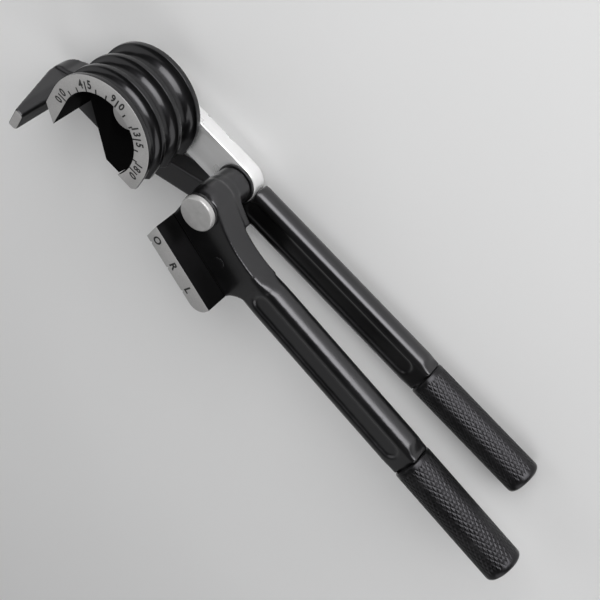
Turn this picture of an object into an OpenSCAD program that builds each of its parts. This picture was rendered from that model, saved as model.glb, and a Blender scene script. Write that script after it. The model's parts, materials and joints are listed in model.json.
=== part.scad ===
// Hand tube bender for three tube sizes: a grooved forming wheel on a handle with a hook,
// a link that swings round the wheel, and a grooved shoe on a second handle.
// The tool lies on its back: the hinge axes stand along +Z and the degree scale faces up.
// The origin is on the wheel's axis, in the plane that the tool lies on.
// The link is drawn at the 180 mark, with the shoe handle folded over the forming handle.

/* [Tubes and bend] */
// Radius of the bend, to the middle of the tube
bend_r = 24; // [23:0.25:26]
// Smallest tube, in the groove next to the scale
tube_small = 6.35; // [5:0.05:6.5]
// Middle tube
tube_mid = 7.94; // [7:0.05:8.2]
// Largest tube, in the groove next to the link
tube_large = 9.53; // [8.5:0.05:10]

/* [Forming wheel] */
// Flange between the scale face and the first groove
scale_flange = 2; // [1.5:0.1:4]
// Ridge between two grooves
ridge = 2; // [1.2:0.1:3]
// Flange behind the last groove
back_flange = 2.2; // [1.5:0.1:4]
// Inner radius of the ring that carries the scale
ring_in_r = 17; // [15:0.25:17.5]
// Depth of the hollow behind the scale ring
hollow = 19; // [15:0.5:21]
// Diameter of the round pad on the ring's inner side
pad_d = 12; // [9:0.2:12.4]
// Distance of the pad from the wheel's axis
pad_c = 19.4; // [19.2:0.1:21]
// Place of the pad round the axis, from the 180 mark
pad_angle = 74.5; // [60:0.5:90]
// Straight tail below the 0 mark, at the rim
tail = 8.6; // [6:0.2:11]
// How much longer the tail is at its inner tip
tail_slant = 6; // [3:0.2:8]
// Straight foot below the 180 mark
foot = 8.2; // [6:0.2:10]
// Chamfer at the foot's outer corner
foot_chamfer = 1.6; // [0.5:0.1:3]
// Depth below the axis where the web's slanted edge leaves the tail
web_slant_y = 10; // [8:0.5:12]
// Lowest edge of the web below the axis
web_low = 29.2; // [27:0.2:31]
// Place of the web's toe, where the slanted edge ends
web_toe_x = 2.2; // [0:0.2:4]
// Place of the web's heel, at the other end of the low edge
web_heel_x = 9.5; // [8:0.25:12]

/* [Forming handle] */
// Thickness of the forming bar
bar_t = 9; // [8:0.25:9.5]
// Height of the forming bar
bar_h = 13.8; // [12:0.2:15]
// Rounding of the bars' long edges
bar_round = 1.4; // [0.8:0.1:2.4]
// Width of the channel in the bars' flat sides
channel_w = 7.6; // [4:0.2:8]
// Depth of that channel
channel_d = 0.8; // [0.4:0.1:1.5]
// How far the channel's ends stay from the bar's ends
channel_end = 6; // [4:0.5:15]
// Middle of the forming bar below the wheel's axis
bar_y = 3.6; // [2:0.2:5]
// Clearance of the bar's hollow root round the link's end
root_gap = 0.5; // [0.3:0.1:1]
// Where the neck ends in the bar, beyond the shoe's pivot
neck_run = 11.9; // [10:0.1:14]
// The neck's end below the wheel's axis
neck_end_y = 5.5; // [4.5:0.1:6]
// Width of the arm and the neck
neck_w = 11; // [10:0.2:11.4]
// How much thinner the neck is than the bar, on each side
neck_relief = 0.2; // [0.1:0.05:0.5]
// Middle of the arm below the wheel's axis
arm_y = 29.6; // [28.5:0.1:31]
// Where the neck leaves the arm
neck_x = 6; // [4:0.5:8]
// The neck's low bend, beyond the shoe's pivot
neck_bend = 1.9; // [1:0.1:3]
// The neck's low bend, below the wheel's axis
neck_bend_y = 14.8; // [14.7:0.1:16]
// Height of the palm under the web, below the axis
palm_y = 12; // [11:0.25:14]
// Left end of the palm's level top
palm_left_x = 15; // [12:0.5:18]
// Right end of the palm's level top
palm_right_x = 9; // [7:0.5:12]

/* [Hook] */
// Width of the hook finger's tip, seen along the hinge axes
finger_tip = 4.3; // [3:0.1:4.6]
// Length of the finger's flat sides, from its inner face
finger_side = 4.9; // [4.7:0.1:6]
// Width of the hook at its root
finger_root = 12.8; // [11:0.1:13.5]
// Height of the straight part of the root
finger_root_h = 2.5; // [1:0.1:6]
// Breadth of the finger between its flat sides
finger_w = 9.6; // [8:0.1:10]
// Breadth of the finger's narrow back
finger_back_w = 3.6; // [2.4:0.1:3.8]
// Rounding of the finger's two inner corners
finger_round = 2; // [1:0.1:2.6]
// Ledge of the arm behind the finger's foot
finger_ledge = 0.3; // [0.2:0.05:0.6]
// Radius of the heel, under the hook
heel_r = 9; // [6:0.25:9.5]

/* [Link and pivots] */
// Distance from the shoe's pivot to the middle of the tube
shoe_reach = 22.6; // [22.4:0.1:23.4]
// Width of the link
link_w = 17.2; // [16.8:0.1:17.6]
// Thickness of the link
link_t = 6.7; // [5:0.1:8]
// Diameter of both pivot pins
pin_d = 10; // [8:0.25:11]
// Diameter of the link pin's riveted end
spigot_d = 7; // [5:0.25:7.5]
// Diameter of the link pin's head, in the web
link_head_d = 16; // [13:0.25:17]
// Thickness of the link pin's head
link_head_t = 3; // [2:0.1:5]
// Diameter of the shoe pin's head
shoe_head_d = 14.8; // [13:0.2:15.2]
// Thickness of the shoe pin's head
shoe_head_t = 2.6; // [1.4:0.1:3.4]
// Diameter of the washer under the shoe pin's head
head_washer_d = 15.4; // [14:0.2:17]
// Thickness of that washer
head_washer_t = 1; // [0.6:0.1:1.6]
// Diameter of the thrust washers on the link pin
thrust_d = 16; // [14:0.2:16.6]
// Diameter of the washer between the link and the shoe's hub
hub_washer_d = 16.6; // [15:0.2:16.8]
// Thickness of the washer between the link and the web
web_washer_t = 1.5; // [1:0.1:2.5]
// Thickness of that washer under the hub
hub_washer_t = 1.2; // [1:0.1:2]
// Thickness of the washer behind the link
back_washer_t = 1.2; // [0.8:0.1:2]
// Diameter of the collar on the link pin's riveted end
collar_d = 15.6; // [13:0.2:16.4]
// Thickness of that collar
collar_t = 3.4; // [2.4:0.1:4]
// Chamfer round the collar, the shoe pin's head and the rivet heads
edge_chamfer = 0.5; // [0.2:0.1:0.8]

/* [Wheel rivets] */
// Diameter of the rivets between the handle and the wheel
rivet_d = 6; // [4:0.25:7]
// Diameter of their heads
rivet_head_d = 10; // [8:0.25:11]
// Depth of the rivets in the web
rivet_depth = 9; // [6:0.5:11]
// Place of the first rivet, left of the axis
rivet_a_x = 6; // [5:0.5:8]
// First rivet below the axis
rivet_a_y = 19; // [18:0.25:21]
// Place of the second rivet, right of the axis
rivet_b_x = 6; // [4:0.25:7]
// Second rivet below the axis
rivet_b_y = 23.5; // [22:0.25:25]

/* [Bending shoe] */
// Thickness of the shoe behind its groove face
shoe_t = 7.5; // [7:0.1:9]
// Length of the shoe ahead of its pivot
shoe_ahead = 35.5; // [32:0.5:38]
// Length of the shoe's groove face behind its pivot
shoe_behind = 1.3; // [0.5:0.1:3]
// How much longer the shoe is at its back
shoe_slant = 1.9; // [0.5:0.1:3]
// Rounding where the tube leaves the shoe
shoe_round = 5.6; // [3:0.1:7]
// Tilt of the folded shoe to the link
shoe_tilt = 19; // [17:0.5:21]
// Thickness of the shoe's tongue
tongue_t = 5; // [3:0.2:6]
// Height of the tongue
tongue_h = 11; // [9:0.25:12]
// Near end of the tongue
tongue_from = 11; // [9:0.5:14]
// Far end of the tongue
tongue_to = 32; // [28:0.5:32.5]
// Diameter of the rivet through the tongue
tongue_rivet_d = 5; // [3:0.2:6]
// Place of that rivet along the shoe
tongue_rivet_x = 21.6; // [18:0.2:26]
// Height of that rivet above the shoe's back
tongue_rivet_h = 7.4; // [5:0.2:8]

/* [Shoe handle] */
// Thickness of the plate round the pivot
plate_t = 10.8; // [10:0.1:12]
// Radius of the plate round the pivot
ear_r = 8.2; // [8:0.05:9.2]
// Radius of the hub that stands on the link
hub_r = 7.7; // [7.2:0.05:7.9]
// How far the boss round the hub stands behind the plate
boss_t = 3.8; // [2:0.1:5]
// Where that boss ends along the bar, from the pivot
boss_end = 15.8; // [12:0.1:20]
// How far the boss stays behind the plate's upper edge
boss_step = 0.4; // [0.2:0.05:1]
// Thickness of the shoe handle's bar
shoe_bar_t = 10.4; // [9:0.1:10.6]
// Height of the shoe handle's bar
shoe_bar_h = 14.6; // [13:0.1:16]
// Tilt of the folded bar to the link
bar_tilt = 4.2; // [3:0.1:6]
// Middle of the bar below the pivot
bar_drop = 10.4; // [9:0.1:12]
// Where the plate becomes the bar, from the pivot
plate_end = 36.5; // [34:0.5:42]
// Where the plate's upper edge leaves the ear, round the pivot
ear_angle = 54; // [45:1:60]
// How far the plate's upper edge dips in
waist = 2.8; // [0.5:0.1:4]
// Radius of the scallop between the shoe and the bar
scallop_r = 10.3; // [8:0.1:12]

/* [Grips] */
// Diameter of the forming grip
forming_grip_d = 15.2; // [14.6:0.1:16]
// Diameter of the shoe grip
shoe_grip_d = 16.8; // [16:0.1:18]
// Length of the grips
grip_len = 56.6; // [45:0.2:70]
// Where the forming grip starts, along the handle
forming_grip_x = 153; // [140:1:160]
// Where the shoe grip starts, from the shoe's pivot
shoe_grip_x = 127; // [115:1:135]
// Diameter of the tenons inside the grips
tenon_d = 10; // [8:0.25:11]
// Thickness of the grips' closed ends
grip_end_t = 4; // [3:0.5:8]
// Rounding of the grips' ends
grip_round = 2; // [1:0.1:3]

/* [Fits] */
// Radial clearance of the turning pivots
run_gap = 0.05; // [0.02:0.01:0.1]
// Radial clearance of pressed and riveted pieces
press_gap = 0.01; // [0.01:0.01:0.03]
// End play at each turning face
end_gap = 0.1; // [0.05:0.01:0.2]
// Gap between the wheel's rim and the shoe
rim_gap = 0.3; // [0.2:0.05:0.5]
// Clearance of each groove on its tube's diameter
groove_gap = 0.1; // [0.05:0.01:0.2]
// Clearance of the shoe's tongue in its slot
tongue_gap = 0.05; // [0.02:0.01:0.1]

/* [Hidden] */
$fn = 64;
eps = 0.01;

// Levels along the hinge axes, from the plane that the tool lies on
z_back_washer = collar_t + end_gap;
z_link = z_back_washer + back_washer_t + end_gap;
z_link_top = z_link + link_t;
z_wheel = z_link_top + web_washer_t + 2 * end_gap;
z_hub = z_link_top + hub_washer_t + end_gap;
z_bar = forming_grip_d / 2;
z_bar_back = z_bar - bar_t / 2;

// Grooves, one after another behind the scale face
groove_s = tube_small + groove_gap;
groove_m = tube_mid + groove_gap;
groove_l = tube_large + groove_gap;
wheel_w = scale_flange + groove_s + groove_m + groove_l + 2 * ridge + back_flange;
rim_r = bend_r - rim_gap / 2;
groove_d = [groove_l, groove_m, groove_s];
groove_z = [
    back_flange + groove_l / 2,
    back_flange + groove_l + ridge + groove_m / 2,
    wheel_w - scale_flange - groove_s / 2
];
z_face = z_wheel + wheel_w;
z_web = z_face - hollow;
z_plate = z_wheel + wheel_w / 2;
z_plate_top = z_plate + plate_t / 2;

// Link, and the shoe from its pivot
link_c = bend_r + shoe_reach;
shoe_face = shoe_reach - rim_gap / 2;
shoe_back = shoe_face - shoe_t;
shoe_top = shoe_behind + shoe_slant;
hook_in = bend_r + tube_large / 2 + groove_gap;
arm_left = hook_in + finger_root - neck_w / 2;
heel_h = heel_r - finger_ledge;
channel_r = channel_w / 2;
grip_bore = grip_len - grip_end_t;

black = [0.06, 0.06, 0.065];
steel = [0.55, 0.54, 0.5];
plated = [0.85, 0.86, 0.88];
grip_black = [0.09, 0.09, 0.095];

// Shared shapes

// A rod standing on the plane z
module rod(d, z, h) {
    translate([0, 0, z])
        cylinder(d = d, h = h);
}

// A washer standing on the plane z
module washer(d, bore, z, t) {
    difference() {
        rod(d, z, t);
        rod(bore, z - eps, t + 2 * eps);
    }
}

// A disc with its upper or lower edge chamfered, standing on the plane z
module coin(d, z, t, top) {
    r = d / 2;
    c = edge_chamfer;
    outline = top
        ? [[0, 0], [r, 0], [r, t - c], [r - c, t], [0, t]]
        : [[0, 0], [r - c, 0], [r, c], [r, t], [0, t]];
    translate([0, 0, z])
        rotate_extrude()
            polygon(outline);
}

// A flat band of one width along a route, with round ends and bends that may swell a little
module band(route, w, swell = 0) {
    for (i = [0 : len(route) - 2]) {
        a = route[i];
        step = route[i + 1] - a;
        translate(a)
            rotate(atan2(step.y, step.x))
                translate([0, -w / 2])
                    square([norm(step), w]);
    }
    for (p = route)
        translate(p)
            circle(d = w + swell);
}

// The section of a handle bar, seen along the bar
module bar_section(h, t) {
    r = bar_round;
    square([h - 2 * r, t], center = true);
    square([h, t - 2 * r], center = true);
    for (sx = [-1, 1], sy = [-1, 1])
        translate([sx * (h / 2 - r), sy * (t / 2 - r)])
            circle(r);
}

// A bar from x0 to x1 on the X axis, with a round tenon beyond it
module handle_bar(h, t, x0, x1) {
    translate([x0, 0, 0])
        rotate([90, 0, 90])
            linear_extrude(x1 - x0)
                bar_section(h, t);
    translate([x1 - eps, 0, 0])
        rotate([0, 90, 0])
            cylinder(d = tenon_d, h = grip_bore + eps);
}

// The channels to cut in the two flat sides of a bar that ends at x1
module bar_channels(t, x0, x1) {
    for (side = [-1, 1])
        translate([0, 0, side * t / 2 - channel_d])
            linear_extrude(2 * channel_d)
                band([[x0, 0], [x1 - channel_end - channel_r, 0]], channel_w);
}

// A grip sleeve on the X axis, open at x = 0 and closed at its round end
module grip_sleeve(d) {
    r = d / 2;
    g = grip_round;
    bore_r = tenon_d / 2 + press_gap;
    rotate([0, 90, 0])
        rotate_extrude()
            difference() {
                union() {
                    translate([0, g / 2])
                        square([r, grip_len - 1.5 * g]);
                    square([r - g / 2, grip_len]);
                    square([r - g, grip_len]);
                    translate([r - g, grip_len - g])
                        circle(g);
                    translate([r - g / 2, g / 2])
                        circle(g / 2);
                }
                translate([r - g, grip_len])
                    square([g, g]);
                translate([0, -eps])
                    square([bore_r, grip_bore + press_gap + eps]);
            }
}

// Places of the moving pieces in the folded tool

// The shoe's pivot, with x along the shoe and y away from its groove face
module at_shoe() {
    translate([link_c, 0, 0])
        rotate(-shoe_tilt)
            children();
}

// The shoe handle's bar, with x along its middle
module at_shoe_bar() {
    translate([link_c, 0, 0])
        rotate(-bar_tilt)
            translate([0, -bar_drop, z_plate])
                children();
}

// Forming handle

// Route of the neck, from the palm to the bar
neck_route = [
    [neck_x, neck_relief - arm_y],
    [link_c + neck_bend, -neck_bend_y],
    [link_c + neck_run, -neck_end_y]
];

// The arm and the palm under the wheel
module palm_outline() {
    high = arm_y - neck_w / 2;
    low = arm_y + neck_w / 2;
    polygon([
        [-arm_left, -high],
        [-palm_left_x, -palm_y],
        [palm_right_x, -palm_y],
        [palm_right_x + neck_w / 2, -high],
        [neck_x, -low],
        [-arm_left, -low]
    ]);
    translate([-arm_left, -arm_y])
        circle(d = neck_w);
}

// The finger's outline across its length: round inner corners, flat sides and a narrow back
module finger_outline() {
    half = finger_w / 2;
    back = finger_back_w / 2;
    r = finger_round;
    translate([-hook_in, -arm_y]) {
        polygon([
            [-r, -half],
            [-r, half],
            [-finger_side, half],
            [-finger_root, back],
            [-finger_root, -back],
            [-finger_side, -half]
        ]);
        translate([-r - eps, r - half])
            square([r + eps, finger_w - 2 * r]);
        for (side = [-1, 1])
            translate([-r, side * (half - r)])
                circle(r);
    }
}

// The finger's taper, seen along Y: straight inside, narrowing to the tip outside
module finger_taper() {
    back = finger_root - finger_ledge;
    translate([-hook_in, 0])
        polygon([
            [eps, z_bar],
            [eps, z_face],
            [-finger_tip, z_face],
            [-back, z_wheel + finger_root_h],
            [-back, z_bar]
        ]);
}

module hook_finger() {
    intersection() {
        translate([0, 0, z_wheel - finger_ledge])
            linear_extrude(z_face - z_wheel + finger_ledge)
                finger_outline();
        translate([0, -arm_y + neck_w, 0])
            rotate([90, 0, 0])
                linear_extrude(2 * neck_w)
                    finger_taper();
    }
}

// What the heel's rounding takes off the arm's lower end
module heel_cut() {
    x0 = -hook_in - finger_root;
    translate([0, neck_w - arm_y, 0])
        rotate([90, 0, 0])
            linear_extrude(2 * neck_w)
                difference() {
                    translate([x0 - heel_r, z_bar_back - heel_r])
                        square([2 * heel_r, heel_r + heel_h]);
                    translate([x0 + heel_h, z_bar_back + heel_h])
                        circle(heel_r);
                    translate([x0 + heel_h, z_bar_back - 2 * heel_r])
                        square(4 * heel_r);
                }
}

module forming_handle() {
    color(black)
    difference() {
        union() {
            translate([0, 0, z_bar_back + neck_relief])
                linear_extrude(bar_t - 2 * neck_relief)
                    band(neck_route, neck_w, neck_relief);
            translate([0, 0, z_bar_back])
                linear_extrude(z_wheel - z_bar_back)
                    palm_outline();
            hook_finger();
            translate([0, -bar_y, z_bar])
                handle_bar(bar_h, bar_t, link_c, forming_grip_x);
        }
        heel_cut();
        translate([link_c, 0, 0])
            rod(link_w + 2 * root_gap, -eps, z_wheel);
        translate([0, -bar_y, z_bar])
            bar_channels(bar_t, link_c + link_w / 2 + channel_r, forming_grip_x);
        at_wheel_rivets()
            rod(rivet_d + 2 * press_gap, -eps, z_wheel + 2 * eps);
    }
}

// Forming wheel

// Half of the wheel's section: the rim with its three half-round grooves
module wheel_section(r_in) {
    difference() {
        translate([r_in, 0])
            square([rim_r - r_in, wheel_w]);
        for (i = [0 : len(groove_d) - 1])
            translate([bend_r, groove_z[i]])
                circle(d = groove_d[i]);
    }
}

// A straight run of the wheel's section below the axis, on the side of its sign
module wheel_leg(side, r_in, length) {
    mirror([side < 0 ? 1 : 0, 0, 0])
        rotate([90, 0, 0])
            linear_extrude(length)
                wheel_section(r_in);
}

module tail_outline() {
    polygon([
        [-rim_r, 0],
        [-rim_r, -tail],
        [-ring_in_r, -tail - tail_slant],
        [-ring_in_r, 0]
    ]);
}

module foot_outline() {
    polygon([
        [0, 0],
        [0, -foot],
        [rim_r - foot_chamfer, -foot],
        [rim_r, -foot + foot_chamfer],
        [rim_r, 0]
    ]);
}

module web_outline() {
    polygon([
        [-ring_in_r, eps],
        [-ring_in_r, -web_slant_y],
        [web_toe_x, -web_low],
        [web_heel_x, -web_low],
        [ring_in_r, -foot],
        [ring_in_r, eps]
    ]);
}

// The hollow inside the ring, round the pad
module hollow_outline() {
    difference() {
        circle(ring_in_r);
        rotate(pad_angle)
            translate([pad_c, 0])
                circle(d = pad_d);
    }
}

module forming_wheel() {
    color(black)
    translate([0, 0, z_wheel])
    difference() {
        union() {
            rotate_extrude(angle = 180)
                wheel_section(0);
            intersection() {
                wheel_leg(-1, ring_in_r, tail + tail_slant);
                linear_extrude(wheel_w)
                    tail_outline();
            }
            intersection() {
                wheel_leg(1, 0, foot);
                linear_extrude(wheel_w)
                    foot_outline();
            }
            linear_extrude(wheel_w - hollow)
                web_outline();
        }
        translate([0, 0, wheel_w - hollow])
            linear_extrude(hollow + eps)
                hollow_outline();
        rod(pin_d + 2 * press_gap, -eps, wheel_w);
        rod(link_head_d + 2 * press_gap, wheel_w - hollow - link_head_t, hollow);
        at_wheel_rivets()
            rod(rivet_d + 2 * press_gap, -eps, rivet_depth + eps);
    }
}

module at_wheel_rivets() {
    for (p = [[-rivet_a_x, -rivet_a_y], [rivet_b_x, -rivet_b_y]])
        translate(p)
            children();
}

module wheel_rivets() {
    color(steel)
    at_wheel_rivets() {
        rod(rivet_d, z_bar_back - eps, z_wheel + rivet_depth - z_bar_back);
        coin(rivet_head_d, 0, z_bar_back, false);
    }
}

// Link and pivots

module link_pivot_pin() {
    color(steel) {
        rod(spigot_d, 0, collar_t + eps);
        rod(pin_d, collar_t, z_web - link_head_t - collar_t + eps);
        rod(link_head_d, z_web - link_head_t, link_head_t);
    }
}

module web_washer() {
    color(steel)
        washer(thrust_d, pin_d + 2 * run_gap, z_link_top + end_gap, web_washer_t);
}

module back_washer() {
    color(steel)
        washer(thrust_d, pin_d + 2 * run_gap, z_back_washer, back_washer_t);
}

module link_collar() {
    color(steel)
    difference() {
        coin(collar_d, 0, collar_t, false);
        rod(spigot_d + 2 * press_gap, -eps, collar_t + 2 * eps);
    }
}

module link() {
    color(plated)
    difference() {
        translate([0, 0, z_link])
            linear_extrude(link_t)
                band([[0, 0], [link_c, 0]], link_w);
        rod(pin_d + 2 * run_gap, z_link - eps, link_t + 2 * eps);
        translate([link_c, 0, 0])
            rod(pin_d + 2 * press_gap, z_link - eps, link_t + 2 * eps);
    }
}

module shoe_pivot_pin() {
    z_head = z_plate_top + end_gap + head_washer_t;
    color(steel)
    translate([link_c, 0, 0]) {
        rod(pin_d, z_link, z_head - z_link + eps);
        coin(shoe_head_d, z_head, shoe_head_t, true);
    }
}

module hub_washer() {
    color(steel)
    translate([link_c, 0, 0])
        washer(hub_washer_d, pin_d + 2 * press_gap, z_link_top, hub_washer_t);
}

module head_washer() {
    color(plated)
    translate([link_c, 0, 0])
        washer(head_washer_d, pin_d + 2 * press_gap, z_plate_top + end_gap, head_washer_t);
}

// Shoe handle

// The plate's outline round the pivot, with x along the bar's tilt
module plate_outline() {
    bar_top = -bar_drop + shoe_bar_h / 2;
    bar_low = -bar_drop - shoe_bar_h / 2;
    upper = ear_r * [cos(ear_angle), sin(ear_angle)];
    upper_end = [plate_end, bar_top];
    chord = upper_end - upper;
    span = norm(chord) / 2;
    dip_r = (span * span + waist * waist) / (2 * waist);
    circle(ear_r);
    difference() {
        polygon([[0, 0], upper, upper_end, [plate_end, bar_low], [0, bar_low]]);
        translate((upper + upper_end) / 2)
            rotate(atan2(chord.y, chord.x))
                translate([0, dip_r - waist])
                    circle(dip_r);
    }
}

// The plate's foot on the shoe's back, with x along the shoe
module seat_outline() {
    difference() {
        polygon([
            [-shoe_top, -shoe_back],
            [-hub_r, 0],
            [shoe_ahead, 0],
            [shoe_ahead + scallop_r, -shoe_back],
            [shoe_ahead, -shoe_back]
        ]);
        translate([shoe_ahead + scallop_r, -shoe_back])
            circle(scallop_r);
    }
}

// The plate with its foot, cut off along the shoe's back and round the scallop
module plate_and_seat() {
    translate([link_c, 0])
        difference() {
            union() {
                rotate(-bar_tilt)
                    plate_outline();
                rotate(-shoe_tilt)
                    seat_outline();
            }
            rotate(-shoe_tilt) {
                translate([-2 * shoe_ahead, -shoe_back - 2 * shoe_ahead])
                    square([4 * shoe_ahead, 2 * shoe_ahead]);
                translate([shoe_ahead + scallop_r, -shoe_back])
                    circle(scallop_r);
            }
        }
}

// The part of the plate that the boss stands behind
module boss_outline() {
    intersection() {
        plate_and_seat();
        translate([0, -boss_step])
            plate_and_seat();
        translate([link_c, 0])
            rotate(-bar_tilt)
                translate([boss_end - 2 * plate_end, -plate_end])
                    square(2 * plate_end);
    }
}

module shoe_handle() {
    color(black)
    difference() {
        union() {
            translate([0, 0, z_plate - plate_t / 2])
                linear_extrude(plate_t)
                    plate_and_seat();
            translate([0, 0, z_plate - plate_t / 2 - boss_t])
                linear_extrude(boss_t + eps)
                    boss_outline();
            translate([link_c, 0, z_hub])
                cylinder(r = hub_r, h = z_plate - z_hub);
            at_shoe_bar()
                handle_bar(shoe_bar_h, shoe_bar_t, plate_end - eps, shoe_grip_x);
        }
        at_shoe_bar()
            bar_channels(shoe_bar_t, plate_end + channel_end, shoe_grip_x);
        translate([link_c, 0, 0])
            rod(pin_d + 2 * run_gap, z_hub - eps, z_plate_top - z_hub + 2 * eps);
        at_shoe() {
            translate([tongue_from - tongue_gap, -shoe_back - eps, z_plate - tongue_t / 2 - tongue_gap])
                cube([
                    tongue_to - tongue_from + 2 * tongue_gap,
                    tongue_h + tongue_gap + eps,
                    tongue_t + 2 * tongue_gap
                ]);
            at_tongue_rivet()
                rod(tongue_rivet_d + 2 * press_gap, z_plate - plate_t, 2 * plate_t);
        }
    }
}

// Bending shoe

module at_tongue_rivet() {
    translate([tongue_rivet_x, -shoe_back + tongue_rivet_h, 0])
        children();
}

// The shoe's outline, seen along its width: slanted at its near end, round where the tube leaves it
module shoe_outline() {
    x1 = shoe_ahead;
    r = shoe_round;
    polygon([
        [-shoe_behind, -shoe_face],
        [-shoe_top, -shoe_back],
        [x1, -shoe_back],
        [x1, -shoe_face + r],
        [x1 - r, -shoe_face + r],
        [x1 - r, -shoe_face]
    ]);
    intersection() {
        translate([x1 - r, -shoe_face + r])
            circle(r);
        translate([x1 - r, -shoe_face])
            square([r, shoe_t]);
    }
}

module bending_shoe() {
    color(black)
    at_shoe()
    difference() {
        union() {
            translate([0, 0, z_wheel])
                linear_extrude(wheel_w)
                    shoe_outline();
            translate([tongue_from, -shoe_back - eps, z_plate - tongue_t / 2])
                cube([tongue_to - tongue_from, tongue_h + eps, tongue_t]);
        }
        for (i = [0 : len(groove_d) - 1])
            translate([-shoe_top - eps, -shoe_reach, z_wheel + groove_z[i]])
                rotate([0, 90, 0])
                    cylinder(d = groove_d[i], h = shoe_ahead + shoe_top + 2 * eps);
        at_tongue_rivet()
            rod(tongue_rivet_d + 2 * press_gap, z_plate - plate_t, 2 * plate_t);
    }
}

module tongue_rivet() {
    color(steel)
    at_shoe()
        at_tongue_rivet()
            rod(tongue_rivet_d, z_plate - plate_t / 2, plate_t);
}

// Grips

module forming_grip() {
    color(grip_black)
    translate([forming_grip_x, -bar_y, z_bar])
        grip_sleeve(forming_grip_d);
}

module shoe_grip() {
    color(grip_black)
    at_shoe_bar()
        translate([shoe_grip_x, 0, 0])
            grip_sleeve(shoe_grip_d);
}

forming_handle();
forming_wheel();
wheel_rivets();
link_pivot_pin();
web_washer();
back_washer();
link_collar();
forming_grip();
link();
shoe_pivot_pin();
hub_washer();
head_washer();
shoe_handle();
bending_shoe();
tongue_rivet();
shoe_grip();
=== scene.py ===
import json
import math

import bmesh
import bpy
from mathutils import Matrix, Vector


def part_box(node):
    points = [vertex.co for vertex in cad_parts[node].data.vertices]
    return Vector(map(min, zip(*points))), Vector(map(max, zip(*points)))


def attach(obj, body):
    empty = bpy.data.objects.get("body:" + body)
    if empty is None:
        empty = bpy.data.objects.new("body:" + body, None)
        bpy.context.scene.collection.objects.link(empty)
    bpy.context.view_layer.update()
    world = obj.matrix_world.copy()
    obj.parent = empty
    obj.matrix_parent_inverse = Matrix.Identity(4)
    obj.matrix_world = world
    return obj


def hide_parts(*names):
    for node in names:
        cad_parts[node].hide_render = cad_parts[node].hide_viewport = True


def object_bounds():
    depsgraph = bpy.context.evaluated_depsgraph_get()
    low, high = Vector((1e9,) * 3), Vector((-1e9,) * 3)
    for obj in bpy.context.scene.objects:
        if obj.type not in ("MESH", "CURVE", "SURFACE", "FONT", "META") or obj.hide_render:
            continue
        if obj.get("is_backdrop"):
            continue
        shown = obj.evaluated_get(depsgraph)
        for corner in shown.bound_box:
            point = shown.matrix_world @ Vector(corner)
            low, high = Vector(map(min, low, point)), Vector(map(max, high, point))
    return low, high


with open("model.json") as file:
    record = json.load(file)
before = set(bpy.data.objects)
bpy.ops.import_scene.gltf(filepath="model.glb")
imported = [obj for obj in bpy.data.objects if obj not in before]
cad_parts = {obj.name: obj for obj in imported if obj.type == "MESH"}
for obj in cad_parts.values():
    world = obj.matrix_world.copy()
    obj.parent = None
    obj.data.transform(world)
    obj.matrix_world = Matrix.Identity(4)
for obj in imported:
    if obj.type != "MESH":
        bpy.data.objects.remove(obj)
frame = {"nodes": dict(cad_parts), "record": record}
cadLow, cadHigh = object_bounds()
print("stage: frame loaded")

mm = 0.001
scene = bpy.context.scene
record = frame["record"]
behaviour = record["behaviour"]
slotOf = {piece["node"]: piece["material_slot"] for piece in record["subparts"]}
slotOf["head_washer"] = "forging_black"  # the photo shows it dark
bodyOf = {node: body for body, members in behaviour["bodies"].items() for node in members}
hingeAt = {joint["name"]: Vector(joint["pos_m"]) for joint in behaviour["joints"]}
shoePin = hingeAt["shoe_swing"]
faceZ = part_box("forming_wheel")[1].z  # the ground face that carries the scale

folded = {"shoe": -19.0, "bar": -4.2}  # degrees about the shoe pin


def aboutPin(degrees):
    return Matrix.Translation(shoePin) @ Matrix.Rotation(math.radians(degrees), 4, "Z")


shoePlace = aboutPin(folded["shoe"])

# Sockets as values, for materials and geometry alike
noiseLook = {"roughness": 0.55, "low": 0.3, "high": 0.7}  # most of a noise is from low to high


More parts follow.
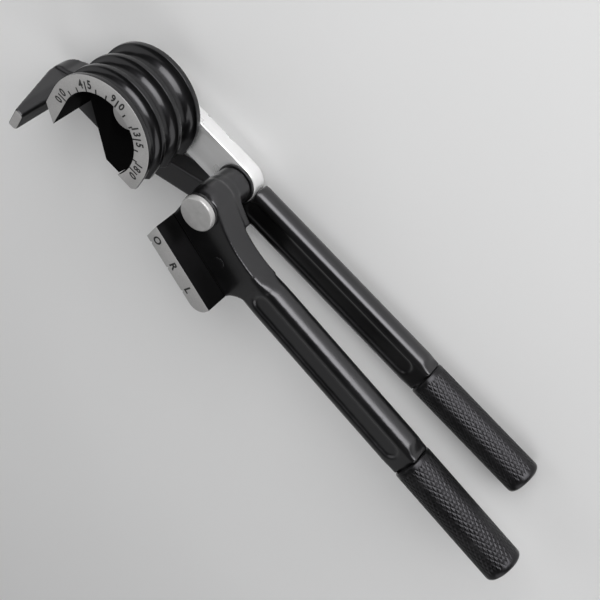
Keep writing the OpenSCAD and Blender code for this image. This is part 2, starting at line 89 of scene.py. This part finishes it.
class Value:
    def __init__(self, tree, socket):
        self.tree = tree
        self.socket = socket

    def node(self, kind, inputs=(), output=0, **settings):
        made = self.tree.nodes.new(kind)
        for key, setting in settings.items():
            setattr(made, key, setting)
        for key, given in dict(inputs).items():
            if isinstance(given, Value):
                self.tree.links.new(given.socket, made.inputs[key])
            else:
                made.inputs[key].default_value = given
        return Value(self.tree, made.outputs[output])

    def math(self, operation, first, second=0.0):
        return self.node("ShaderNodeMath", {0: first, 1: second}, operation=operation)

    def __add__(self, other):
        return self.math("ADD", self, other)

    __radd__ = __add__

    def __mul__(self, other):
        return self.math("MULTIPLY", self, other)

    __rmul__ = __mul__

    def __sub__(self, other):
        return self.math("SUBTRACT", self, other)

    def __rsub__(self, other):
        return self.math("SUBTRACT", other, self)

    def __truediv__(self, other):
        return self.math("DIVIDE", self, other)

    def __rtruediv__(self, other):
        return self.math("DIVIDE", other, self)

    def larger(self, other):
        return self.math("MAXIMUM", self, other)

    def vector(self, operation, other=(0.0, 0.0, 0.0), output=0):
        return self.node("ShaderNodeVectorMath", {0: self, 1: other}, output, operation=operation)

    def part(self, axis):
        return self.node("ShaderNodeSeparateXYZ", {0: self}, output=axis)

    def ramp(self, low, high, start=0.0, end=1.0):
        limits = {"From Min": low, "From Max": high, "To Min": start, "To Max": end}
        return self.node("ShaderNodeMapRange", {"Value": self, **limits})

    # Fades in or out over a stretch in mm
    def above(self, stretch):
        return self.ramp(stretch[0] * mm, stretch[1] * mm)

    def below(self, stretch):
        return self.ramp(stretch[0] * mm, stretch[1] * mm, 1.0, 0.0)

    def noise(self, scale, detail):
        return self.node("ShaderNodeTexNoise", {
            "Vector": self, "Scale": scale, "Detail": detail, "Roughness": noiseLook["roughness"],
        })

    def spread(self, start=0.0, end=1.0):
        return self.ramp(noiseLook["low"], noiseLook["high"], start, end)

    def mixed(self, first, second):
        return self.node(
            "ShaderNodeMix", {0: self, 6: first, 7: second}, output=2, data_type="RGBA"
        )

    def between(self, first, second):
        return first + self * (second - first)

    def bump(self, strength, distance):
        return self.node(
            "ShaderNodeBump", {"Strength": strength, "Distance": distance, "Height": self}
        )


# Materials: a pattern's pair of numbers is its scale and its detail

def newMaterial(name, **constants):
    material = bpy.data.materials.new(name)
    material.use_nodes = True
    tree = material.node_tree
    shader = tree.nodes["Principled BSDF"]
    for key, setting in constants.items():
        shader.inputs[key.replace("_", " ")].default_value = setting
    coords = tree.nodes.new("ShaderNodeTexCoord")
    place = Value(tree, coords.outputs["Object"])

    def feed(socket, value):
        tree.links.new(value.socket, shader.inputs[socket])

    return material, place, feed


def grey(level, warm=0.0):
    return (level * (1 + warm), level, level * (1 - warm), 1.0)


def tones(look):
    return [grey(look[key], look.get("warm", 0.0)) for key in ("dark", "light")]


coolShine = (0.95, 0.93, 1.0, 1.0)
# The matt grey is the dark coat used both for painted shade in the hollows and for a finish that
# is matt all over
coatLook = {
    "dark": 0.0012, "light": 0.004, "shadeAndMattCoat": 0.0026, "smooth": 0.28, "rough": 0.4,
    "cloud": (60.0, 4.0), "grain": (900.0, 2.0), "peel": 0.05, "peelDeep": 0.02,
}
groundLook = {
    "dark": 0.36, "light": 0.50, "warm": 0.012, "metal": 0.35, "rough": 0.45,
    "speck": (2600.0, 2.0), "speckSpread": (0.25, 0.75), "speckShare": 0.6,
    "level": (-0.14, -0.08), "ringInside": (16.6, 17.1), "padLevel": 0.72,
}
# Painted shade: the places where the coat turns dark and matt, in the wheel's bore and between its
# ends, at the hook's crook and on the finger's inner face, in mm
paintedShadeZones = {
    "bore": (17.3, 17.4), "ringEnds": (18.8, 18.9), "ringEndsTop": (-0.1, 0.0),
    "crook": (-10.0, -18.0), "crookReach": (8.0, 20.0),
    "fingerOutside": (-29.2, -28.8), "fingerInside": (-28.5, -28.4), "fingerFoot": (12.0, 18.0),
}
# Each black finish: its shine and coat, the painted shade it takes in the wheel's and the hook's
# hollows, and a matt share all over that is its own finish
blackFinishes = {
    "forgingBlack": {
        "shine": 0.5, "coat": 0.7, "coatRough": 0.22,
        "paintedShadeWheel": 0.0, "paintedShadeHook": 0.9, "mattAll": 0.0,
    },
    "wheelBlack": {
        "shine": 0.35, "coat": 0.5, "coatRough": 0.1,
        "paintedShadeWheel": 0.95, "paintedShadeHook": 0.0, "mattAll": 0.0,
    },
    "shoeBlack": {
        "shine": 0.5, "coat": 0.0, "coatRough": 0.2,
        "paintedShadeWheel": 0.0, "paintedShadeHook": 0.0, "mattAll": 0.8,
    },
}


# Distance from an upright line, such as the wheel's axis
def fromLine(place, x=0.0, y=0.0):
    level = place.vector("MULTIPLY", (1.0, 1.0, 0.0))
    return level.vector("DISTANCE", (x * mm, y * mm, 0.0), output="Value")


# Painted shade and matt finish: how far the coat gives way to the dark matt one, as painted shade
# in the wheel's bore and between its ends and at the hook's crook and finger, and all over where
# the finish itself is matt
def shadeAndMattShare(place, finish):
    x, y, z = (place.part(axis) for axis in "XYZ")
    bore = fromLine(place).below(paintedShadeZones["bore"])
    ringEnds = (
        place.math("ABSOLUTE", x).below(paintedShadeZones["ringEnds"]) * y.below(paintedShadeZones["ringEndsTop"])
    )
    crook = fromLine(place, *paintedShadeZones["crook"]).below(paintedShadeZones["crookReach"])
    finger = (
        x.above(paintedShadeZones["fingerOutside"])
        * x.below(paintedShadeZones["fingerInside"])
        * z.above(paintedShadeZones["fingerFoot"])
    )
    inWheel = bore.larger(ringEnds) * finish["paintedShadeWheel"]
    inHook = crook.larger(finger) * finish["paintedShadeHook"]
    return inWheel.larger(inHook).larger(finish["mattAll"])


# Black coat, ground off to bare steel on the face that carries the marks, and given way to a dark
# matt coat as painted shade in the hollows
def makeForgingBlack(name):
    finish = blackFinishes[name]
    material, place, feed = newMaterial(
        name, Specular_IOR_Level=finish["shine"], Coat_Roughness=finish["coatRough"],
        Specular_Tint=coolShine,
    )
    cloud = place.noise(*coatLook["cloud"]).spread()
    grain = place.noise(*coatLook["grain"])
    speck = place.noise(*groundLook["speck"]).ramp(*groundLook["speckSpread"])
    ground = (place.part("Z") - faceZ).above(groundLook["level"])
    paint = cloud.mixed(*tones(coatLook))
    specks = groundLook["speckShare"]
    worn = (speck * specks + cloud * (1 - specks)).mixed(*tones(groundLook))
    pad = fromLine(place).above(groundLook["ringInside"]).between(groundLook["padLevel"], 1.0)
    feed("Base Color", ground.mixed(paint, pad.mixed(grey(0.0), worn)))
    feed("Metallic", ground * groundLook["metal"])
    feed("Coat Weight", (1 - ground) * finish["coat"])
    coatRoughness = cloud.ramp(0, 1, coatLook["smooth"], coatLook["rough"])
    feed("Roughness", ground.between(coatRoughness, groundLook["rough"]))
    feed("Normal", grain.bump(coatLook["peel"], coatLook["peelDeep"] * mm))
    tree = material.node_tree
    surface = tree.nodes["Material Output"].inputs["Surface"]
    gloss = Value(tree, surface.links[0].from_socket)
    # Painted shade: a dark matt coat without reflections laid over the hollows, mixed with the
    # finish's own matt share
    shadeAndMattCoat = place.node("ShaderNodeBsdfDiffuse", {"Color": grey(coatLook["shadeAndMattCoat"])})
    shadeAndMattAmount = (1 - ground) * shadeAndMattShare(place, finish)
    both = place.node("ShaderNodeMixShader", {0: shadeAndMattAmount, 1: gloss, 2: shadeAndMattCoat})
    tree.links.new(both.socket, surface)
    return material


def makeBareSteel():
    look = {
        "dark": 0.42, "light": 0.5, "warm": 0.01, "metal": 0.45, "smooth": 0.34, "rough": 0.46,
        "patch": (260.0, 4.0), "lines": (420.0, 3.0), "close": (1.0, 9.0, 1.0),
        "grind": 0.1, "grindDeep": 0.015,
    }
    material, place, feed = newMaterial("bareSteel", Metallic=look["metal"])
    lines = place.vector("MULTIPLY", look["close"]).noise(*look["lines"])
    feed("Base Color", place.noise(*look["patch"]).spread().mixed(*tones(look)))
    feed("Roughness", lines.spread(look["smooth"], look["rough"]))
    feed("Normal", lines.bump(look["grind"], look["grindDeep"] * mm))
    return material


def makePlatedSteel():
    look = {
        "dark": 0.84, "light": 0.90, "metal": 0.62, "smooth": 0.24, "rough": 0.34,
        "cloud": (70.0, 3.0), "grain": (1300.0, 2.0), "grainBump": 0.06, "grainDeep": 0.015,
    }
    material, place, feed = newMaterial("platedSteel", Metallic=look["metal"])
    cloud = place.noise(*look["cloud"])
    feed("Base Color", cloud.spread().mixed(*tones(look)))
    feed("Roughness", cloud.spread(look["smooth"], look["rough"]))
    feed("Normal", place.noise(*look["grain"]).bump(look["grainBump"], look["grainDeep"] * mm))
    return material


def makeGripBlack():
    look = {
        "dark": 0.002, "light": 0.006, "shine": 0.4, "smooth": 0.26, "rough": 0.36,
        "cloud": (140.0, 3.0),
    }
    material, place, feed = newMaterial(
        "gripBlack", Specular_IOR_Level=look["shine"], Specular_Tint=coolShine
    )
    cloud = place.noise(*look["cloud"])
    feed("Base Color", cloud.spread().mixed(*tones(look)))
    feed("Roughness", cloud.spread(look["smooth"], look["rough"]))
    return material


def makeStampInk():
    look = {"dark": 0.006, "light": 0.02, "rough": 0.6, "patch": (600.0, 2.0)}
    material, place, feed = newMaterial("stampInk", Roughness=look["rough"])
    feed("Base Color", place.noise(*look["patch"]).spread().mixed(*tones(look)))
    return material


forgingBlack, wheelBlack, shoeBlack = (makeForgingBlack(name) for name in blackFinishes)
looks = {
    "forging_black": forgingBlack,
    "bare_steel": makeBareSteel(),
    "plated_steel": makePlatedSteel(),
    "grip_black": makeGripBlack(),
}
ownLook = {"forming_wheel": wheelBlack, "bending_shoe": shoeBlack}
stampInk = makeStampInk()
print("stage: materials")


# Pieces

def addObject(name, data):
    made = bpy.data.objects.new(name, data)
    scene.collection.objects.link(made)
    return made


def keepPiece(made, body):
    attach(made, body)


def keepNode(made, node):
    keepPiece(made, bodyOf[node])
    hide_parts(node)


def smoothMesh(mesh, degrees):
    mesh.shade_smooth()
    mesh.set_sharp_from_angle(angle=math.radians(degrees))


def meshFrom(shape, name):
    mesh = bpy.data.meshes.new(name)
    shape.to_mesh(mesh)
    shape.free()
    return mesh


# The object's mesh with its modifiers worked in and taken off
def plainMesh(made, name):
    graph = bpy.context.evaluated_depsgraph_get()
    mesh = bpy.data.meshes.new_from_object(made.evaluated_get(graph), depsgraph=graph)
    mesh.name = name
    old = made.data
    made.modifiers.clear()
    made.data = mesh
    if old.users == 0:
        bpy.data.meshes.remove(old)
    return mesh


weld = {"gap": 0.002, "flat": 0.5}  # mm between doubles, degrees between the faces of a plane


def copyNode(node, name, *fillers):
    shape = bmesh.new()
    for source in (node, *fillers):
        shape.from_mesh(frame["nodes"][source].data)
    bmesh.ops.remove_doubles(shape, verts=shape.verts, dist=weld["gap"] * mm)
    bmesh.ops.dissolve_limit(
        shape, angle_limit=math.radians(weld["flat"]), verts=shape.verts, edges=shape.edges
    )
    mesh = meshFrom(shape, name)
    mesh.materials.append(ownLook.get(node, looks[slotOf[node]]))
    return addObject(name, mesh)


# Forged pieces: soft edges and fillets over the whole solid

forging = {"voxel": 0.45, "relax": 0.5, "rounds": 8}


def forgeNode(node, name, bar, *fillers):
    made = copyNode(node, name, *fillers)
    skin = made.modifiers.new("skin", "REMESH")
    skin.mode = "VOXEL"
    skin.voxel_size = forging["voxel"] * mm
    relax = made.modifiers.new("relax", "SMOOTH")
    relax.factor = forging["relax"]
    relax.iterations = forging["rounds"]
    mesh = plainMesh(made, name)
    keepNode(made, node)
    crownBar(mesh, bar)
    return mesh


def eased(value, low, high):
    t = min(max((value - low) / (high - low), 0.0), 1.0)
    return t * t * (3 - 2 * t)


# Rise of a round side over its edges, at a height from its middle
def arcRise(level, half, lean):
    radius = half / math.sin(math.radians(lean))
    edge = math.sqrt(radius ** 2 - half ** 2)
    return math.sqrt(radius ** 2 - min(abs(level), half) ** 2) - edge


# The bar's sides swell between their edges, as a forging's do
def crownBar(mesh, bar):
    toBar = bar["place"].inverted()
    for vertex in mesh.vertices:
        spot = toBar @ vertex.co / mm
        rise = arcRise(spot.z, bar["thick"] / 2, bar["lean"])
        zone = eased(spot.x, *bar["from"]) * (1 - eased(spot.x, *bar["to"]))
        side = Vector((0, spot.y / (bar["width"] / 2), 0)) * zone
        vertex.co = bar["place"] @ ((spot + side * rise) * mm)


# The hub's end is round under the pin's head
def roundHub(mesh, hub):
    for vertex in mesh.vertices:
        spot = (vertex.co - shoePin) / mm
        away = Vector((spot.x, spot.y, 0))
        turn = math.degrees(math.atan2(away.y, away.x)) % 360
        rise = spot.z - (hub["top"] - hub["round"])
        zone = eased(turn, *hub["from"]) * (1 - eased(turn, *hub["to"]))
        if zone > 0 and rise > 0 and away.length < hub["reach"]:
            rise = min(rise, hub["limit"] * hub["round"])
            drop = hub["round"] - math.sqrt(hub["round"] ** 2 - rise ** 2)
            away *= drop * hub["share"] / hub["reach"] * zone
            vertex.co -= away * mm


# The plate's edge runs out softly into the bar
def easeSpot(mesh, spot):
    shape = bmesh.new()
    shape.from_mesh(mesh)
    middle = Vector(spot["place"])
    near = [vertex for vertex in shape.verts if (vertex.co / mm - middle).length < spot["reach"]]
    for k in range(spot["rounds"]):
        bmesh.ops.smooth_vert(
            shape, verts=near, factor=spot["relax"],
            use_axis_x=True, use_axis_y=True, use_axis_z=True,
        )
    shape.to_mesh(mesh)
    shape.free()


formingBar = {
    "place": Matrix.Translation((0, -3.6 * mm, 7.6 * mm)),
    "width": 13.8, "thick": 9.0, "lean": 40.0, "from": (50.0, 58.0), "to": (147.0, 152.0),
}
shoeBar = {
    "place": aboutPin(folded["bar"]) @ Matrix.Translation((0, -10.4 * mm, 29.36 * mm)),
    "width": 14.6, "thick": 10.4, "lean": 43.0, "from": (34.0, 44.0), "to": (120.0, 126.0),
}
hub = {
    "top": 34.76, "round": 6.0, "limit": 0.98, "share": 0.5, "reach": 8.6,
    "from": (60.0, 110.0), "to": (230.0, 280.0),
}
runOut = {"place": (82.5, -6.3, 34.4), "reach": 4.5, "relax": 0.5, "rounds": 30}
formingMesh = forgeNode("forming_handle", "formingHandle", formingBar)
formingMesh.shade_smooth()
shoeMesh = forgeNode("shoe_handle", "shoeHandle", shoeBar, "tongue_rivet")
roundHub(shoeMesh, hub)
easeSpot(shoeMesh, runOut)
shoeMesh.shade_smooth()
print("stage: forgings")


# Machined and cast pieces: rounded edges on the solid

rounding = {"steps": 3, "edge": 32, "sharp": 34}  # the last two in degrees


def softenNode(node, name, width, cutter=None):
    made = copyNode(node, name)
    if cutter:
        cut = made.modifiers.new("notches", "BOOLEAN")
        cut.operation = "DIFFERENCE"
        cut.object = cutter
    bevel = made.modifiers.new("edges", "BEVEL")
    bevel.width = width * mm
    bevel.segments = rounding["steps"]
    bevel.limit_method = "ANGLE"
    bevel.angle_limit = math.radians(rounding["edge"])
    mesh = plainMesh(made, name)
    keepNode(made, node)
    smoothMesh(mesh, rounding["sharp"])
    return mesh


# Index notches in the shoe's edge, beside its letters
notches = {
    "along": (1.7, 13.4, 24.3), "face": -22.45, "half": 0.6, "deep": 0.7, "flange": 2.1,
    "outside": 0.1, "above": 0.5,
}


def makeNotchCutter():
    shape = bmesh.new()
    outside = notches["face"] - notches["outside"]
    for along in notches["along"]:
        corners = (
            (along - notches["half"], outside),
            (along + notches["half"], outside),
            (along, notches["face"] + notches["deep"]),
        )
        low, high = (
            [shape.verts.new(shoePlace @ Vector((s * mm, n * mm, level))) for s, n in corners]
            for level in (faceZ - notches["flange"] * mm, faceZ + notches["above"] * mm)
        )
        shape.faces.new(low[::-1])
        shape.faces.new(high)
        for k in range(3):
            shape.faces.new((low[k], low[k - 2], high[k - 2], high[k]))
    bmesh.ops.recalc_face_normals(shape, faces=shape.faces)
    return addObject("notchCutter", meshFrom(shape, "notchCutter"))


# Each piece's name, and the rounding of its edges in mm
softened = {
    "forming_wheel": ("formingWheel", 0.6),
    "bending_shoe": ("bendingShoe", 0.35),
    "link": ("linkPlate", 0.5),
    "link_pivot_pin": ("linkPivotPin", 0.3),
    "shoe_pivot_pin": ("shoePivotPin", 0.8),
    "head_washer": ("headWasher", 0.2),
    "hub_washer": ("hubWasher", 0.2),
    "web_washer": ("webWasher", 0.2),
    "back_washer": ("backWasher", 0.2),
    "link_collar": ("linkCollar", 0.2),
    "wheel_rivets": ("wheelRivets", 0.2),
}
cutters = {"bending_shoe": makeNotchCutter()}
for node, (name, width) in softened.items():
    softenNode(node, name, width, cutters.get(node))
for cutter in cutters.values():
    cutterMesh = cutter.data
    bpy.data.objects.remove(cutter)
    bpy.data.meshes.remove(cutterMesh)

# The rivet's ends stand just proud of the plate
rivet = {"round": 0.12, "proud": 0.06}
low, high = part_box("tongue_rivet")
longer = 1 + 2 * rivet["proud"] * mm / (high.z - low.z)
rivetMesh = softenNode("tongue_rivet", "tongueRivet", rivet["round"])
middle = Matrix.Translation((0, 0, (low.z + high.z) / 2))
rivetMesh.transform(middle @ Matrix.Diagonal((1, 1, longer, 1)) @ middle.inverted())
print("stage: machined and cast pieces")


# Geometry trees

number = "NodeSocketFloat"


def newTree(name, **inputs):
    tree = bpy.data.node_groups.new(name, "GeometryNodeTree")
    tree.interface.new_socket("Geometry", in_out="INPUT", socket_type="NodeSocketGeometry")
    tree.interface.new_socket("Geometry", in_out="OUTPUT", socket_type="NodeSocketGeometry")
    keys = {}
    for key, kind in inputs.items():
        keys[key] = tree.interface.new_socket(key, in_out="INPUT", socket_type=kind).identifier
    start = tree.nodes.new("NodeGroupInput")
    values = {key: Value(tree, start.outputs[key]) for key in ("Geometry", *inputs)}
    return tree, keys, values


def endTree(values, geometry):
    tree = geometry.tree
    real = geometry.node("GeometryNodeRealizeInstances", {0: geometry})
    done = real.node("GeometryNodeSetMaterial", {"Geometry": real, "Material": values["Material"]})
    end = tree.nodes.new("NodeGroupOutput")
    tree.links.new(done.socket, end.inputs[0])


def runTree(made, name, tree, keys, settings):
    step = made.modifiers.new(name, "NODES")
    step.node_group = tree
    for key, setting in settings.items():
        step[keys[key]] = setting
    return plainMesh(made, name)


# Knurled grips

knurl = {
    "pitch": 3.65, "depth": 0.13, "start": 1.9, "plainEnd": 2.4, "sharp": 14,
    "lattice": 4,  # columns and rows of the mesh to one diamond
    "flank": (0.45, 0.95), "skin": (0.02, 0.01),
}
sleeve = {
    "length": 56.6, "bore": 5.01, "boreEnd": 52.61,
    "startRound": 1.0, "startSteps": 3, "endRound": 2.0, "endSteps": 5,
}
grips = {
    "forming_grip": {
        "name": "formingGrip", "d": 15.2, "around": 26, "bar": formingBar, "from": 153.0,
    },
    "shoe_grip": {"name": "shoeGrip", "d": 16.8, "around": 28, "bar": shoeBar, "from": 127.0},
}


# Presses two crossing rows of grooves into a sleeve on the X axis
def makeKnurlTree():
    tree, keys, given = newTree(
        "diamondKnurl", Around=number, Pitch=number, Depth=number, Radius=number, Start=number,
        End=number, Material="NodeSocketMaterial",
    )
    base = given["Geometry"]
    place = base.node("GeometryNodeInputPosition")
    x, y, z = (place.part(axis) for axis in "XYZ")
    outward = place.vector("MULTIPLY", (0.0, 1.0, 1.0))
    radius = outward.vector("LENGTH", output="Value")
    turn = base.math("ARCTAN2", z, y) * given["Around"] / (2 * math.pi)
    along = (x - given["Start"]) / given["Pitch"]
    first, second = (
        1 - 2 * base.math("PINGPONG", t, 0.5) for t in (turn + along, turn - along)
    )
    deep = first.larger(second).ramp(*knurl["flank"])
    edge = given["Pitch"] / knurl["lattice"]
    low, high = (given["Radius"] - depth * mm for depth in knurl["skin"])
    zone = (
        x.ramp(given["Start"], given["Start"] + edge)
        * x.ramp(given["End"] - edge, given["End"], 1.0, 0.0)
        * radius.ramp(low, high)
    )
    way = outward.vector("NORMALIZE")
    inward = 0 - deep * zone * given["Depth"]
    push = way.node("ShaderNodeVectorMath", {0: way, "Scale": inward}, operation="SCALE")
    moved = base.node("GeometryNodeSetPosition", {"Geometry": base, "Offset": push})
    endTree(given, moved)
    return tree, keys


def quarterTurn(steps):
    return [math.radians(90 * k / steps) for k in range(steps + 1)]


# A turned sleeve on the X axis, closed at its far end, with its rows on the knurl's lattice
def sleeveMesh(grip):
    r = grip["d"] / 2
    lattice = knurl["lattice"]
    columns = lattice * grip["around"]
    step = knurl["pitch"] / lattice
    rows = int((sleeve["length"] - knurl["plainEnd"] - knurl["start"]) / step)
    inner = sleeve["startRound"]
    outer = sleeve["endRound"]
    profile = [(sleeve["boreEnd"], sleeve["bore"]), (0, sleeve["bore"])]
    for a in quarterTurn(sleeve["startSteps"]):
        profile.append((inner - inner * math.cos(a), r - inner + inner * math.sin(a)))
    first = len(profile)
    profile += [(knurl["start"] + step * k, r) for k in range(rows + 1)]
    shoulder = sleeve["length"] - outer
    for a in quarterTurn(sleeve["endSteps"]):
        profile.append((shoulder + outer * math.sin(a), r - outer + outer * math.cos(a)))
    shape = bmesh.new()
    turns = [2 * math.pi * k / columns for k in range(columns)]
    rings = [
        [
            shape.verts.new((x * mm, radius * mm * math.cos(turn), radius * mm * math.sin(turn)))
            for turn in turns
        ]
        for x, radius in profile
    ]
    for row in range(len(rings) - 1):
        j = row - first
        for i in range(columns):
            a, b = rings[row][i], rings[row][(i + 1) % columns]
            c, d = rings[row + 1][(i + 1) % columns], rings[row + 1][i]
            if not 0 <= j < rows:
                shape.faces.new((a, d, c, b))
            elif (i + j + 1) % lattice == 0:  # diagonals follow the grooves
                shape.faces.new((a, d, b))
                shape.faces.new((d, c, b))
            else:
                shape.faces.new((a, d, c))
                shape.faces.new((a, c, b))
    for ring, x in ((rings[0], sleeve["boreEnd"]), (rings[-1], sleeve["length"])):
        pole = shape.verts.new((x * mm, 0, 0))
        for i in range(columns):
            shape.faces.new((ring[i], ring[(i + 1) % columns], pole))
    bmesh.ops.recalc_face_normals(shape, faces=shape.faces)
    return meshFrom(shape, grip["name"]), knurl["start"] + step * rows


knurlTree, knurlKeys = makeKnurlTree()
for node, grip in grips.items():
    mesh, end = sleeveMesh(grip)
    made = addObject(grip["name"], mesh)
    mesh = runTree(made, grip["name"], knurlTree, knurlKeys, {
        "Around": float(grip["around"]), "Pitch": knurl["pitch"] * mm,
        "Depth": knurl["depth"] * mm, "Radius": grip["d"] / 2 * mm,
        "Start": knurl["start"] * mm, "End": end * mm, "Material": looks["grip_black"],
    })
    mesh.transform(grip["bar"]["place"] @ Matrix.Translation((grip["from"] * mm, 0, 0)))
    smoothMesh(mesh, knurl["sharp"])
    keepNode(made, node)
print("stage: grips")


# Marks on the ground faces

ink = {"depth": 0.3, "proud": 0.02}
inkLevel = faceZ + (ink["proud"] - ink["depth"] / 2) * mm
ticks = {
    "count": 13, "step": 15.0, "longEvery": 3, "inner": 17.1, "short": 1.9, "long": 4.1,
    "width": 0.64,
}


# Bars round the wheel's axis, from the 0 mark on
def makeTickTree():
    tree, keys, given = newTree(
        "scaleTicks", Count="NodeSocketInt", Step=number, Inner=number, Short=number, Long=number,
        Width=number, Depth=number, Level=number, Material="NodeSocketMaterial",
    )
    base = given["Geometry"]
    every = ticks["longEvery"]
    points = base.node("GeometryNodePoints", {"Count": given["Count"]})
    index = base.node("GeometryNodeInputIndex")
    turn = math.pi - index * given["Step"]
    isLong = base.math("COMPARE", index - every * base.math("FLOOR", index / every), 0.0)
    length = isLong.between(given["Short"], given["Long"])
    middle = given["Inner"] + length / 2
    x, y = (middle * base.math(wave, turn) for wave in ("COSINE", "SINE"))
    spot = base.node("ShaderNodeCombineXYZ", {0: x, 1: y, 2: given["Level"]})
    size = base.node("ShaderNodeCombineXYZ", {0: length, 1: given["Width"], 2: given["Depth"]})
    bars = base.node("GeometryNodeInstanceOnPoints", {
        "Points": base.node("GeometryNodeSetPosition", {"Geometry": points, "Position": spot}),
        "Instance": base.node("GeometryNodeMeshCube"),
        "Rotation": base.node("ShaderNodeCombineXYZ", {2: turn}),
        "Scale": size,
    })
    endTree(given, bars)
    return tree, keys


tickTree, tickKeys = makeTickTree()
made = addObject("scaleTicks", bpy.data.meshes.new("scaleTicks"))
runTree(made, "scaleTicks", tickTree, tickKeys, {
    "Count": ticks["count"], "Step": math.radians(ticks["step"]), "Inner": ticks["inner"] * mm,
    "Short": ticks["short"] * mm, "Long": ticks["long"] * mm, "Width": ticks["width"] * mm,
    "Depth": ink["depth"] * mm, "Level": inkLevel, "Material": stampInk,
})
keepPiece(made, "forming_side")

signLook = {"bold": 0.034, "thick": 0.1, "curves": 6, "weld": 0.001}  # bold, thick: to a size of 1


# One sign as a closed mesh of the given height, its middle on the origin
def signMesh(sign, height, narrow):
    data = bpy.data.curves.new("sign", "FONT")
    data.body = sign
    data.size = 1.0
    data.offset = signLook["bold"]
    data.extrude = signLook["thick"]
    data.resolution_u = signLook["curves"]
    made = addObject("sign", data)
    graph = bpy.context.evaluated_depsgraph_get()
    mesh = bpy.data.meshes.new_from_object(made.evaluated_get(graph), depsgraph=graph)
    bpy.data.objects.remove(made)
    bpy.data.curves.remove(data)
    spots = [vertex.co for vertex in mesh.vertices]
    low, high = (
        Vector([pick(spot[k] for spot in spots) for k in range(3)]) for pick in (min, max)
    )
    scale = height / (high.y - low.y)
    flat = ink["depth"] * mm / (high.z - low.z)
    mesh.transform(
        Matrix.Diagonal((scale * narrow, scale, flat, 1)) @ Matrix.Translation(-(low + high) / 2)
    )
    return mesh


def addSigns(name, signs, look, body):
    whole = bmesh.new()
    for sign, place in signs:
        mesh = signMesh(sign, look["height"] * mm, look["narrow"])
        mesh.transform(Matrix.Translation((0, 0, inkLevel)) @ place)
        whole.from_mesh(mesh)
        bpy.data.meshes.remove(mesh)
    bmesh.ops.remove_doubles(whole, verts=whole.verts, dist=signLook["weld"] * mm)
    bmesh.ops.recalc_face_normals(whole, faces=whole.faces)
    mesh = meshFrom(whole, name)
    mesh.materials.append(stampInk)
    keepPiece(addObject(name, mesh), body)


# Numbers stand on both sides of their tick
digits = {"height": 3.6, "narrow": 0.82, "radius": 20.1, "spread": 6.2, "next": 6.4}
numbers = {0: ("0", "0"), 45: ("4", "5"), 90: ("9", "0"), 135: ("13", "5"), 180: ("18", "0")}


def onScale(mark):
    turn = math.radians(180 - mark)
    radius = digits["radius"] * mm
    return (
        Matrix.Translation((radius * math.cos(turn), radius * math.sin(turn), 0))
        @ Matrix.Rotation(turn - math.pi / 2, 4, "Z")
    )


scaleSigns = []
for mark, (before, after) in numbers.items():
    for k, digit in enumerate(reversed(before)):
        scaleSigns.append((digit, onScale(mark - digits["spread"] - k * digits["next"])))
    scaleSigns.append((after, onScale(mark + digits["spread"])))
addSigns("scaleNumbers", scaleSigns, digits, "forming_side")

letters = {
    "height": 3.7, "narrow": 0.95,
    "signs": {"O": (2.0, -18.6), "R": (14.0, -18.6), "L": (24.9, -18.9)},
}
shoeSigns = [
    (sign, shoePlace @ Matrix.Translation((s * mm, n * mm, 0)))
    for sign, (s, n) in letters["signs"].items()
]
addSigns("shoeLetters", shoeSigns, letters, "shoe_side")
print("stage: marks")

# Camera, light and floor

view = {
    "place": (100.1, 352.3, 348.0), "target": (96.8, -11.5, 20.0), "roll": -133.7, "fov": 27.08,
    "near": 10.0, "far": 20000.0,
}
camData = bpy.data.cameras.new("camera")
camData.sensor_fit = "HORIZONTAL"
camData.angle = math.radians(view["fov"])
camData.clip_start = view["near"] * mm
camData.clip_end = view["far"] * mm
camera = addObject("camera", camData)
place = Vector(view["place"]) * mm
aim = (Vector(view["target"]) * mm - place).to_track_quat("-Z", "Y").to_matrix().to_4x4()
camera.matrix_world = (
    Matrix.Translation(place) @ aim @ Matrix.Rotation(math.radians(view["roll"]), 4, "Z")
)
scene.camera = camera

# Places and sizes in metres, power in watts, spread in degrees
lights = {
    "sideBox": {"place": (0.1, 0.9, 0.44), "size": (1.1, 0.9), "power": 7.6, "spread": 120},
    "rightBox": {"place": (1.1, -0.25, 0.9), "size": (1.0, 1.0), "power": 4.5, "spread": 180},
    "leftBox": {"place": (-0.9, -0.3, 1.1), "size": (1.4, 1.4), "power": 4.5, "spread": 180},
    "backBox": {"place": (0.1, -1.1, 0.5), "size": (1.8, 1.0), "power": 1.6, "spread": 180},
}
lightTarget = Vector((0.09, 0, 0.02))


def addLight(name, light):
    data = bpy.data.lights.new(name, "AREA")
    data.shape = "RECTANGLE"
    data.size, data.size_y = light["size"]
    data.energy = light["power"]
    data.spread = math.radians(light["spread"])
    lamp = addObject(name, data)
    lamp.location = light["place"]
    lamp.rotation_euler = (lightTarget - lamp.location).to_track_quat("-Z", "Y").to_euler()


for name, light in lights.items():
    addLight(name, light)

sky = {"colour": (0.82, 0.84, 0.88, 1), "strength": 0.02}
world = bpy.data.worlds.new("studio")
world.use_nodes = True
background = world.node_tree.nodes["Background"]
background.inputs["Color"].default_value = sky["colour"]
background.inputs["Strength"].default_value = sky["strength"]
scene.world = world

floorLook = {
    "half": 3000.0, "below": 0.1, "dark": 0.80, "light": 0.84, "rough": 0.7, "cloud": (3.0, 3.0),
}
half = floorLook["half"] * mm
floorMesh = bpy.data.meshes.new("floor")
floorMesh.from_pydata(
    [(-half, -half, 0), (half, -half, 0), (half, half, 0), (-half, half, 0)], [], [(0, 1, 2, 3)]
)
floorMaterial, floorPlace, feedFloor = newMaterial("floor", Roughness=floorLook["rough"])
feedFloor("Base Color", floorPlace.noise(*floorLook["cloud"]).spread().mixed(*tones(floorLook)))
floorMesh.materials.append(floorMaterial)
floor = addObject("floor", floorMesh)
floor.location.z = cadLow.z - floorLook["below"] * mm
floor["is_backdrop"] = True
scene.view_settings.view_transform = "Standard"
print("stage: camera, light and floor")

low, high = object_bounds()
